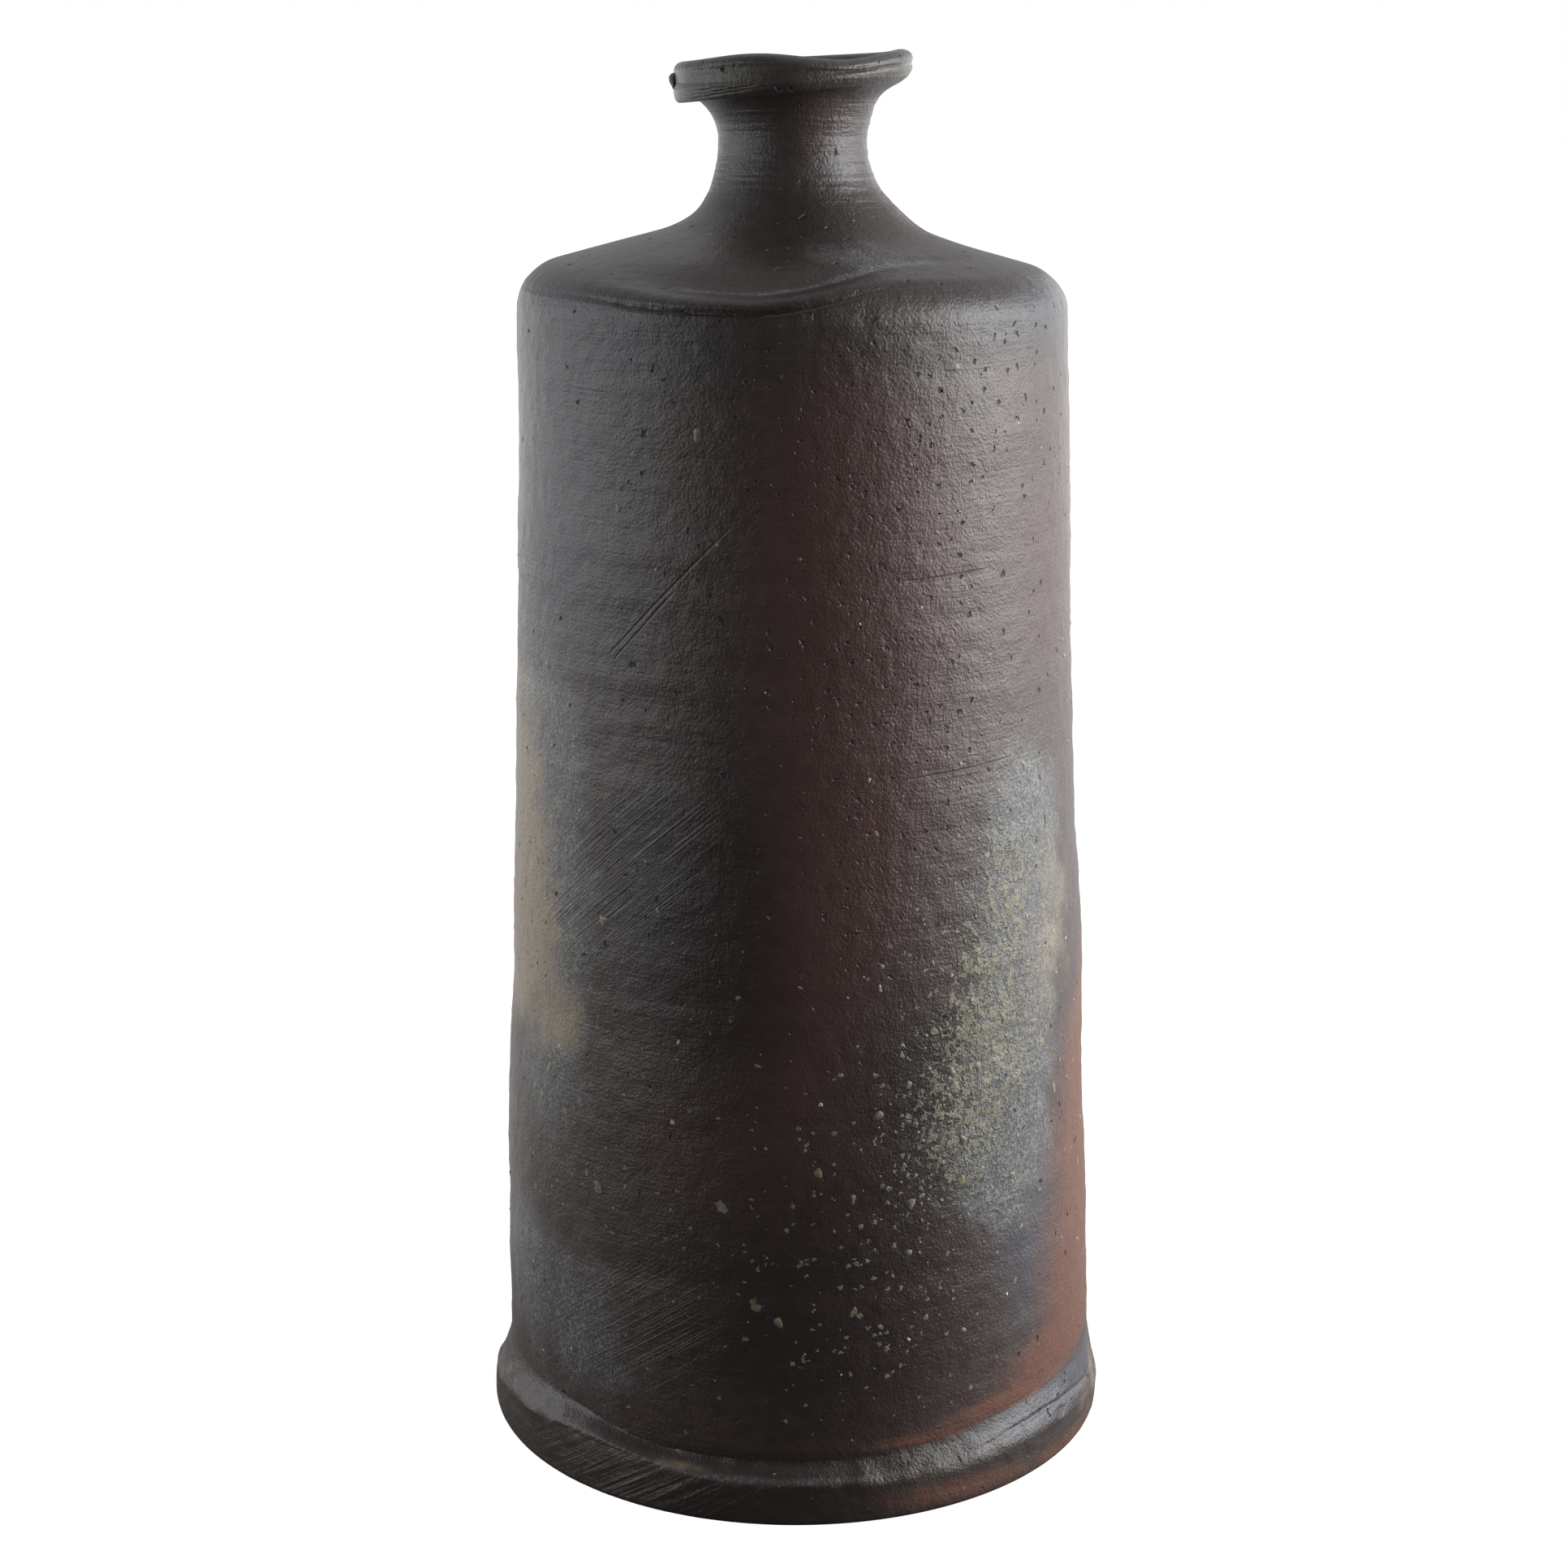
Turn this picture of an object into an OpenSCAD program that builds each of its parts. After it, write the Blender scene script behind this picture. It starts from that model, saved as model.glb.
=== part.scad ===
// Tall wood-fired stoneware sake bottle, as the clay members that a potter forms and joins:
// a slab, a foot band, a wall, a shoulder, a neck and a folded lip, with a crumb of kiln grit.
// +Z is up. The origin is the centre of the foot, on the ground. -Y is the front.

/* [Overall] */
// Height from the ground to the highest point of the rim
total_h = 215; // [170:1:265]
// Diameter of the foot band where it is widest
foot_d = 99.8; // [80:0.2:125]

/* [Foot] */
// Height at which the foot band's ledge meets the wall
foot_h = 10; // [8.2:0.1:14]
// How far the foot band stands out from the wall
ledge_w = 2.4; // [1.6:0.1:4]
// Height of the foot band's upright face, below the sloping ledge
band_face_h = 6.4; // [4.5:0.1:8]
// Radius of the foot band's lower edge
foot_round = 1.2; // [0.6:0.1:2]
// Thickness of the base slab at its edge, which is also the height of the wall's seat
base_t = 7; // [5:0.1:8]
// How far the middle of the slab lifts clear of the ground
base_lift = 0.8; // [0.3:0.1:1.5]

/* [Wall] */
// How much less the wall's outside radius is under the shoulder than at the foot
wall_taper = 5.9; // [0:0.1:9]
// Swell of the lower wall, and the same amount of waist in the upper wall
belly = 0.4; // [0:0.1:1.5]
// Thickness of the wall
wall_t = 5.5; // [4:0.1:6.8]
// Rise of the bevel on which the shoulder is lapped over the wall
lap_rise = 3; // [1:0.1:5]
// Height of the shoulder's upright skirt, from the lap to where it starts to turn in
shoulder_skirt = 6; // [4:0.1:10]

/* [Shoulder] */
// Radius of the shoulder's outside edge
shoulder_round = 7.5; // [7:0.1:10]
// Slope of the shoulder, in degrees from level
shoulder_slope = 15; // [5:1:22]
// Thickness of the shoulder
shoulder_t = 5; // [4:0.1:6]
// Depth of the hollow that was pressed into the shoulder
press_depth = 2.4; // [0:0.1:3.4]
// Radius of the pressed hollow
press_round = 120; // [60:1:150]
// Bearing of the pressed hollow, in degrees from +X
press_turn = -103; // [-180:1:180]

/* [Neck] */
// Outside diameter of the neck where it is narrowest
neck_d = 22.2; // [20:0.1:30]
// Diameter of the throat that the sake is poured through
throat_d = 14.4; // [10:0.1:17.4]
// Radius of the sweep from the shoulder up into the neck
root_round = 13; // [10:0.1:16]
// Length of the neck between its two sweeps
neck_waist = 0.8; // [0:0.1:8]
// Radius of the sweep from the neck out to the lip
flare_round = 7; // [5:0.1:8.5]

/* [Mouth] */
// How far the lip's outside face stands out past the end of the neck's flare
lip_over = 2.12; // [1.6:0.01:4]
// Height of the lip's outside face
lip_h = 4.9; // [4:0.1:7]
// Thickness of the lip's upper edge
lip_t = 3.4; // [2.6:0.1:4.2]
// How far the rim drops on its low side, and rises on its high side
rim_tilt = 1.2; // [0:0.1:2]
// Height of the rim's ripple
rim_ripple = 0.5; // [0:0.05:1]
// Diameter of the crumb of kiln grit that is fused to the lip
crumb_d = 2.6; // [1.5:0.1:3.4]

/* [Hidden] */
$fn = 120;

// Colours of the fired clay, from the foot to the mouth
slab_clay = "#5a3a2e";
foot_clay = "#3d3634";
wall_clay = "#4c3e3c";
shoulder_clay = "#474443";
neck_clay = "#4a4342";
lip_clay = "#4d4a46";
crumb_clay = "#2f2924";

// Outside radii
foot_r = foot_d / 2;
wall_foot_r = foot_r - ledge_w;
wall_top_r = wall_foot_r - wall_taper;
neck_r = neck_d / 2;
throat_r = throat_d / 2;
lip_sides = 72;

// Levels, worked down from the rim
rim_z = total_h - rim_tilt - rim_ripple;
lip_z = rim_z - lip_h;
flare_end = 68;
flare_z = lip_z - flare_round * sin(flare_end);
flare_end_r = neck_r + flare_round * (1 - cos(flare_end));
root_z = flare_z - neck_waist;
lip_r = flare_end_r + lip_over;

// Where the straight slope of the shoulder meets the neck's sweep, and where it meets the rounded edge
slope_in = [neck_r + root_round * (1 - sin(shoulder_slope)), root_z - root_round * cos(shoulder_slope)];
edge_r = wall_top_r - shoulder_round;
slope_out_r = edge_r + shoulder_round * sin(shoulder_slope);
slope_out_z = slope_in[1] - tan(shoulder_slope) * (slope_out_r - slope_in[0]);
edge_z = slope_out_z - shoulder_round * cos(shoulder_slope);

// Centre of the sweep inside the neck, which leaves the shoulder's thickness at its lower end
throat_in_r = throat_r + root_round * (1 - sin(shoulder_slope));
throat_z = slope_in[1] + tan(shoulder_slope) * (slope_in[0] - throat_in_r)
           - shoulder_t / cos(shoulder_slope) + root_round * cos(shoulder_slope);
// The seam between shoulder and neck crosses the sweep at this angle
neck_seam = 45;
// Top of the straight throat, a little above the start of the flare, where the funnel of the mouth begins
throat_over = 3.2;
throat_top = flare_z + throat_over;

// Outside level of the lap between wall and shoulder
wall_end_z = edge_z - shoulder_skirt;
// The seam between slab and band lies under the middle of the wall, and splays by this much
slab_r = wall_foot_r - wall_t / 2;
slab_splay = 2;

// Outside and inside radius of the wall at height z. The sine gives the swell and the waist.
function wall_share(z) = (z - foot_h) / (edge_z - foot_h);
function wall_r(z) = wall_foot_r - wall_taper * wall_share(z) + belly * sin(360 * wall_share(z));
function wall_in_r(z) = wall_r(z) - wall_t;
// The wall's outline is straight inside the foot band, and in steps of about 8 mm above it
function wall_steps(a, b) = [for (i = [0 : ceil((b - a) / 8)]) a + (b - a) * i / ceil((b - a) / 8)];

// Points on an arc about c, from angle a to angle b
function arc(c, r, a, b, n) = [for (i = [0 : n])
    let (t = a + (b - a) * i / n)
    c + r * [cos(t), sin(t)]];
function backwards(list) = [for (i = [len(list) - 1 : -1 : 0]) list[i]];

// Height of the rim above its mean level, at bearing a
function rim_rise(a) = rim_tilt * cos(a) + rim_ripple * cos(4 * a + 60);

module turned(outline) {
    rotate_extrude() polygon(outline);
}

// Flat disc beaten out on the wheel. Its edge is bevelled, and its middle has lifted in drying.
module base_slab() {
    lift_r = slab_r - 6;
    color(slab_clay) turned([
        [0, base_lift],
        [lift_r, base_lift],
        [slab_r - slab_splay, 0],
        [slab_r, base_t],
        [0, base_t - base_lift]
    ]);
}

// Thick coil pressed round the foot of the wall and trimmed to a face with a sloping ledge above it
module foot_band() {
    ledge_r = foot_r - 0.5;
    color(foot_clay) turned(concat(
        [[slab_r - slab_splay, 0]],
        arc([foot_r - foot_round, foot_round], foot_round, -90, 0, 6),
        [
            [foot_r, band_face_h / 2],
            [ledge_r, band_face_h],
            [wall_r(foot_h), foot_h],
            [wall_r(base_t), base_t],
            [slab_r, base_t]
        ]
    ));
}

// Thrown wall. It stands flat on the slab and the foot band, and its top is a bevel that rises inwards.
module wall() {
    outside = concat([base_t], wall_steps(foot_h, wall_end_z));
    inside = wall_steps(base_t, wall_end_z + lap_rise);
    color(wall_clay) turned(concat(
        [for (z = outside) [wall_r(z), z]],
        backwards([for (z = inside) [wall_in_r(z), z]])
    ));
}

// Collar of clay that closes the bottle in, with a hollow pressed into its front edge
module shoulder() {
    edge_c = [edge_r, edge_z];
    round_in = shoulder_round - min(wall_t, shoulder_round - 0.5);
    seat_in = wall_end_z + lap_rise;
    root_c = [neck_r + root_round, root_z];
    throat_c = [throat_r + root_round, throat_z];
    // Angle above level at which the hollow is pressed in, and how far off its centre is from the edge's
    press_up = 58;
    reach = shoulder_round + press_round - press_depth;
    color(shoulder_clay) difference() {
        turned(concat(
            [[wall_r(wall_end_z), wall_end_z]],
            arc(edge_c, shoulder_round, 0, 90 - shoulder_slope, 10),
            backwards(arc(root_c, root_round, 180 + neck_seam, 270 - shoulder_slope, 6)),
            arc(throat_c, root_round, 180 + neck_seam, 270 - shoulder_slope, 6),
            backwards(arc(edge_c, round_in, 0, 90 - shoulder_slope, 5)),
            [[wall_in_r(seat_in), seat_in]]
        ));
        rotate([0, 0, press_turn])
            translate([edge_r + reach * cos(press_up), 0, edge_z + reach * sin(press_up)])
                sphere(r = press_round);
    }
}

// Waisted neck with a straight throat. Its top is a dish that the lip sits in.
module neck() {
    color(neck_clay) turned(concat(
        backwards(arc([neck_r + root_round, root_z], root_round, 180, 180 + neck_seam, 8)),
        arc([neck_r + flare_round, flare_z], flare_round, 180, 180 - flare_end, 8),
        [[throat_r, throat_top]],
        arc([throat_r + root_round, throat_z], root_round, 180, 180 + neck_seam, 8)
    ));
}

// Ring whose outline is a list of [radius, height, share of the rim's rise]
module rippled_ring(outline, turns) {
    n = len(outline);
    points = [for (t = [0 : turns - 1], p = outline)
        let (a = 360 * t / turns)
        [p[0] * cos(a), p[0] * sin(a), p[1] + p[2] * rim_rise(a)]];
    faces = [for (t = [0 : turns - 1], k = [0 : n - 1])
        let (here = t * n, next = ((t + 1) % turns) * n, l = (k + 1) % n)
        each [[here + k, here + l, next + l], [here + k, next + l, next + k]]];
    polyhedron(points, faces);
}

// Folded band round the mouth: an upright outside face, a rounded edge and a funnel down to the throat
module mouth_lip() {
    face_round = 1.3;
    under = [lip_r - face_round, lip_z];
    edge_top = rim_z - lip_t / 2;
    funnel = [lip_r - lip_t, edge_top];
    funnel_n = 6;
    lower_edge = arc([lip_r - face_round, lip_z + face_round], face_round, -60, 0, 3);
    upper_edge = arc([lip_r - lip_t / 2, edge_top], lip_t / 2, 0, 180, 8);
    color(lip_clay) rippled_ring(concat(
        [[flare_end_r, lip_z, 0], [under[0], under[1], 1]],
        [for (p = lower_edge) [p[0], p[1], 1]],
        [for (p = upper_edge) [p[0], p[1], 1]],
        // The funnel narrows on a quarter ellipse, and the ripple fades out towards the throat
        [for (i = [1 : funnel_n])
            let (a = 90 * i / funnel_n)
            [throat_r + (funnel[0] - throat_r) * (1 - sin(a)),
             throat_top + (funnel[1] - throat_top) * cos(a),
             cos(a)]]
    ), lip_sides);
}

// Crumb of grit that fused to the lip's outside face in the kiln: a ball with about a third of it cut off
module kiln_crumb() {
    crumb_turn = 182.5;
    crumb_r = crumb_d / 2;
    back_angle = -17;
    seat_r = lip_r * cos(180 / lip_sides);
    level = lip_z + lip_h / 2 + rim_rise(crumb_turn);
    outline = arc([0, -crumb_r * sin(back_angle)], crumb_r, back_angle, 90, 8);
    color(crumb_clay)
        rotate([0, 0, crumb_turn])
            translate([seat_r, 0, level])
                rotate([0, 90, 0])
                    turned(concat([[0, 0]], [for (p = outline) [max(p[0], 0), p[1]]]));
}

base_slab();
foot_band();
wall();
shoulder();
neck();
mouth_lip();
kiln_crumb();
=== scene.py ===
# A tall wood-fired stoneware sake bottle, dressed round its CAD members in the order a potter forms them.
# Lengths are in metres and MM turns millimetres into them. Bearings are in degrees, 0 at +X and -90 in front.
import math

import bpy
import numpy as np
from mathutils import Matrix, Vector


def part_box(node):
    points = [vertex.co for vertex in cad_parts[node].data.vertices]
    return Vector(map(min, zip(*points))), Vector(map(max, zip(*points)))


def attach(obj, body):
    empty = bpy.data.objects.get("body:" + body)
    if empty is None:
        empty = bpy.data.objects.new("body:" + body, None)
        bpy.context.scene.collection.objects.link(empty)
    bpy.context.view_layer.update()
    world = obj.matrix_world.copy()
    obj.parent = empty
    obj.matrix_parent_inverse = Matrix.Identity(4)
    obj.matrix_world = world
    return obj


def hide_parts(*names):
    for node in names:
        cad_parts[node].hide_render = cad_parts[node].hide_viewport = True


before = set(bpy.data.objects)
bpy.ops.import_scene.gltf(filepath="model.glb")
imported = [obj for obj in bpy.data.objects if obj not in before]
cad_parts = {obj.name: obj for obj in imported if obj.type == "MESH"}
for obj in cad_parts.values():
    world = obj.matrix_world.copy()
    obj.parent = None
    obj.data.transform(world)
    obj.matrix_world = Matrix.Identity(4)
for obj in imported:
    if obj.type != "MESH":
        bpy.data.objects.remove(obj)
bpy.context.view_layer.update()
MM = 0.001

# ---------------------------------------------------------------- base slab
# The bottom of the bottle: a disc of stoneware beaten out on the wheel head, left bare and rough.
# The wall and the foot band are pressed down on to its edge, and its middle lifted a little in drying.
COLUMNS = 480
bearing = np.arange(COLUMNS) * 2 * math.pi / COLUMNS + math.pi / 2
foot_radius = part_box("foot_band")[1].x
slab_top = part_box("wall")[0].z
slab_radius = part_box("base_slab")[1].x
slab_splay = 2 * MM
slab_lift = 0.8 * MM


def lattice(turn, height, across, up, seed):
    """Random heights from -1 to 1 at the crossings of a lattice, blended between them with t*t*(3-2t).
    It has `across` cells round the bottle, so it closes on itself, and cells `up` metres high."""
    table = np.random.default_rng(seed).uniform(-1, 1, (across, 1024))
    u, v = np.broadcast_arrays(turn / (2 * math.pi) * across, height / up)
    column, row = np.floor(u).astype(int), np.floor(v).astype(int)
    s, t = u - column, v - row
    s, t = s * s * (3 - 2 * s), t * t * (3 - 2 * t)
    corner = lambda i, j: table[(column + i) % across, (row + j) % 1024]
    lower = corner(0, 0) * (1 - s) + corner(1, 0) * s
    upper = corner(0, 1) * (1 - s) + corner(1, 1) * s
    return lower * (1 - t) + upper * t


def bell(x):
    """A smooth hump: 1 at 0 and about a third at 1, by exp(-x*x)."""
    return np.exp(-np.square(x))


def ease(x, low, high):
    """Rises smoothly from 0 at low to 1 at high."""
    t = np.clip((x - low) / (high - low), 0, 1)
    return t * t * (3 - 2 * t)


def off(turn, centre):
    """How far a bearing lies from a centre given in degrees, in degrees from -180 to 180."""
    return (np.degrees(turn) - centre + 180) % 360 - 180


def skin(name, radius, height, poles=False, marks=None, place=None):
    """Closed surface from rows of rings: ring k has radius[k] and height[k] at each bearing.
    The last ring joins the first, or with poles the first and last close on a point on the axis."""
    rows, columns = radius.shape
    turn = np.arange(columns) * 2 * math.pi / columns + math.pi / 2
    x, y = radius * np.cos(turn), radius * np.sin(turn)
    if place is not None:
        x, y, height = place(x, y, height)
    points = np.stack([x, y, height], -1).reshape(-1, 3)
    k, j = np.meshgrid(np.arange(rows - 1 if poles else rows), np.arange(columns), indexing="ij")
    above, beside = (k + 1) % rows, (j + 1) % columns
    this_ring, next_ring = k * columns, above * columns
    quads = np.stack([this_ring + j, this_ring + beside, next_ring + beside, next_ring + j], -1)
    faces = quads.reshape(-1, 4).tolist()
    if poles:
        ring = np.arange(columns)
        beyond = (ring + 1) % columns
        first, last = points[:columns].mean(0), points[-columns:].mean(0)
        at, top = len(points), (rows - 1) * columns
        faces += np.stack([beyond, ring, np.full(columns, at)], -1).tolist()
        faces += np.stack([top + ring, top + beyond, np.full(columns, at + 1)], -1).tolist()
        points = np.vstack([points, first, last])
    a, b, c = points[quads[..., 0].ravel()], points[quads[..., 1].ravel()], points[quads[..., 2].ravel()]
    d = points[quads[..., 3].ravel()]
    volume = np.einsum("ij,ij->i", a, np.cross(b, c)).sum() + np.einsum("ij,ij->i", a, np.cross(c, d)).sum()
    if volume < 0:
        faces = [face[::-1] for face in faces]
    mesh = bpy.data.meshes.new(name)
    mesh.from_pydata(points.tolist(), [], faces)
    for mark, amount in (marks or {}).items():
        values = np.zeros(len(points), np.float32)
        values[: rows * columns] = np.broadcast_to(amount, radius.shape).ravel()
        mesh.attributes.new(mark, "FLOAT", "POINT").data.foreach_set("value", values)
    mesh.shade_smooth()
    mesh.set_sharp_from_angle(angle=math.radians(50))
    piece = bpy.data.objects.new(name, mesh)
    bpy.context.scene.collection.objects.link(piece)
    return piece


class Value:
    """A shader socket that takes part in sums: each operator adds one Math node."""

    def __init__(self, bench, socket):
        self.bench, self.socket = bench, socket

    def sum(self, operation, *others):
        return self.bench.node("ShaderNodeMath", {"operation": operation}, dict(enumerate(others or (self,))))

    def __add__(self, other): return self.sum("ADD", self, other)
    def __radd__(self, other): return self.sum("ADD", other, self)
    def __sub__(self, other): return self.sum("SUBTRACT", self, other)
    def __rsub__(self, other): return self.sum("SUBTRACT", other, self)
    def __mul__(self, other): return self.sum("MULTIPLY", self, other)
    def __rmul__(self, other): return self.sum("MULTIPLY", other, self)
    def __truediv__(self, other): return self.sum("DIVIDE", self, other)
    def __gt__(self, other): return self.sum("GREATER_THAN", self, other)
    def __lt__(self, other): return self.sum("LESS_THAN", self, other)
    def clamp(self): return self.bench.node("ShaderNodeClamp", {}, {0: self})

    def rise(self, low, high):
        """0 below low, 1 above high, smooth between."""
        kind = {"interpolation_type": "SMOOTHSTEP"}
        return self.bench.node("ShaderNodeMapRange", kind, {0: self, 1: low, 2: high})


class Bench:
    """The node tree of one material, or of the owner given, with its shader ready."""

    def __init__(self, name, owner=None, shader="Principled BSDF"):
        self.material = owner or bpy.data.materials.new(name)
        self.material.use_nodes = True
        self.tree = self.material.node_tree
        self.shader = self.tree.nodes[shader]

    def node(self, kind, settings=None, sockets=None, out=0):
        """Adds one node: its settings first, then the values or links of its sockets. Returns one output."""
        made = self.tree.nodes.new(kind)
        for key, setting in (settings or {}).items():
            setattr(made, key, setting)
        for key, value in (sockets or {}).items():
            self.put(made.inputs[key], value)
        return Value(self, made.outputs[out])

    def put(self, socket, value):
        if isinstance(value, Value):
            self.tree.links.new(value.socket, socket)
        elif isinstance(value, (tuple, list)) and len(value) == 3 and len(socket.default_value) == 4:
            socket.default_value = (*value, 1)
        else:
            socket.default_value = value

    def mark(self, name):
        return self.node("ShaderNodeAttribute", {"attribute_name": name}, out=2)

    def where(self):
        return self.node("ShaderNodeTexCoord", out=3)

    def cloud(self, size, detail=3, rough=0.55, stretch=(1, 1, 1), vector=None):
        """Smooth noise from 0 to 1 with lumps about `size` metres across, drawn out by stretch."""
        scale = tuple(1 / s for s in stretch)
        moved = self.node("ShaderNodeMapping", {}, {0: vector or self.where(), 3: scale})
        return self.node("ShaderNodeTexNoise", {}, {"Vector": moved, "Scale": 1 / size, "Detail": detail,
                                                    "Roughness": rough})

    def blend(self, share, under, over):
        return self.node("ShaderNodeMix", {"data_type": "RGBA"}, {0: share, 6: under, 7: over}, out=2)

    def bump(self, height, depth, below=None):
        """A Bump node of real depth in metres, laid over the one below it."""
        sockets = {"Height": height, "Distance": depth, "Strength": 1.0}
        if below is not None:
            sockets["Normal"] = below
        return self.node("ShaderNodeBump", {}, sockets)

    def finish(self, **sockets):
        for name, value in sockets.items():
            self.put(self.shader.inputs[name.replace("_", " ")], value)
        return self.material


share = np.linspace(0, 1, 24)[:, None]
slab_edge = slab_radius - slab_splay * (1 - share)
under = (slab_radius - slab_splay) * share[1:]
slab_r = np.vstack([under, slab_edge, slab_radius * share[::-1][1:-1]]) * np.ones(COLUMNS)
under_z = slab_lift * (1 - ease(share[1:], 0.84, 1))
over_z = slab_top - slab_lift * (1 - ease(share[::-1][1:-1], 0.84, 1))
slab_z = np.vstack([under_z, slab_top * share, over_z]) * np.ones(COLUMNS)
beaten = 0.12 * MM * lattice(bearing, slab_r, 40, 4 * MM, 11)
inner = np.vstack([np.ones((23, 1)), np.zeros((24, 1)), np.ones((22, 1))])
slab_z = slab_z + inner * np.clip(slab_radius - slab_splay - slab_r, 0, MM) / MM * np.abs(beaten)
base_slab = skin("bottle_base_slab", slab_r, slab_z, poles=True)

bench = Bench("bare_red_clay")
grain = bench.cloud(1.1 * MM)
patches = bench.cloud(14 * MM, 4)
colour = bench.blend(patches.rise(0.35, 0.65), (0.085, 0.034, 0.021), (0.17, 0.078, 0.047))
colour = bench.blend(grain.rise(0.62, 0.72) * 0.6, colour, (0.03, 0.02, 0.017))
bump = bench.bump(grain, 0.25 * MM)
base_slab.data.materials.append(bench.finish(Base_Color=colour, Roughness=0.78 + patches * 0.12, Normal=bump))
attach(base_slab, "root")
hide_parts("base_slab")

# ---------------------------------------------------------------- foot band
# A thick coil of the same clay, pressed round the foot of the wall and trimmed with a knife.
# Its face is nearly upright, and its sloping ledge rises and widens towards the right-hand side.
ledge_width = 2.4 * MM
wall_taper = 5.9 * MM
wall_swell = 0.4 * MM
shoulder_round = 7.5 * MM
shoulder_slope = math.radians(15)
neck_radius = 11.1 * MM
root_round = 13 * MM
wall_foot_radius = foot_radius - ledge_width
root_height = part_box("neck")[1].z - 7.29 * MM
edge_radius = wall_foot_radius - wall_taper - shoulder_round
slope_top_radius = neck_radius + root_round * (1 - math.sin(shoulder_slope))
slope_top_height = root_height - root_round * math.cos(shoulder_slope)
slope_foot_radius = edge_radius + shoulder_round * math.sin(shoulder_slope)
slope_foot_height = slope_top_height - math.tan(shoulder_slope) * (slope_foot_radius - slope_top_radius)
edge_height = slope_foot_height - shoulder_round * math.cos(shoulder_slope)
foot_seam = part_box("foot_band")[1].z


def wall_radius(height):
    """Outside radius of the wall: a straight taper, plus one sine wave for its swell and its waist."""
    s = (height - foot_seam) / (edge_height - foot_seam)
    return wall_foot_radius - wall_taper * s + wall_swell * np.sin(2 * math.pi * s)


def seat(turn):
    """Height at which the band's ledge dies out on the wall: highest at the right, then at the left."""
    right, left = 6.6 * bell(off(turn, 0) / 50), 3.0 * bell(off(turn, -165) / 32)
    front_left = 1.2 * bell(off(turn, -138) / 14)
    return (9.6 + right + left + front_left) * MM


def sway(x, y, height):
    """The whole bottle leans by half a millimetre each way, and the root of its neck stands a millimetre to
    the right. At the right the shoulder sinks by about as much, and the top of the neck is tipped up."""
    lean = 0.42 * np.cos(math.pi * height / (190 * MM)) * ease(height, 0, 12 * MM)
    lean = lean + 0.95 * bell((height - 190.5 * MM) / (4.5 * MM))
    sink = 0.5 * ease(height, 175 * MM, 183 * MM) * (1 - ease(height, 187 * MM, 192 * MM))
    tip = 0.75 * ease(height, 202 * MM, 207 * MM)
    return x + lean * MM, y, height + (tip - sink) * MM * (1 + x / np.hypot(x, y).clip(MM))


def relief(turn, height):
    """What the potter's hands and the grit left on the outside: a slow wobble, rings and a fine pebbling."""
    wobble = 0.30 * lattice(turn, height, 5, 26 * MM, 1) + 0.16 * lattice(turn, height, 9, 9 * MM, 2)
    rings = 0.07 * lattice(turn, height, 3, 3.1 * MM, 3) + 0.035 * lattice(turn, height, 6, 1.1 * MM, 4)
    pebbles = 0.045 * lattice(turn, height, 150, 1.9 * MM, 5) + 0.03 * lattice(turn, height, 300, 1.1 * MM, 6)
    pebbles = pebbles * (1 - ease(height, 180 * MM, 188 * MM))
    nub = 0.45 * bell(off(turn, -54) / 2.2) * bell((height - 200.3 * MM) / (0.42 * MM))
    return (wobble + rings + pebbles + nub) * MM


def patch(turn, height, centre, middle, half_turn, half_height, lean=0):
    """A soft oval of colour: a bell round a bearing in degrees and a height in millimetres. It leans by
    `lean` degrees for each millimetre that it rises."""
    z = height / MM
    return bell(off(turn, centre + lean * (z - middle)) / half_turn) * bell((z - middle) / half_height)


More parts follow.
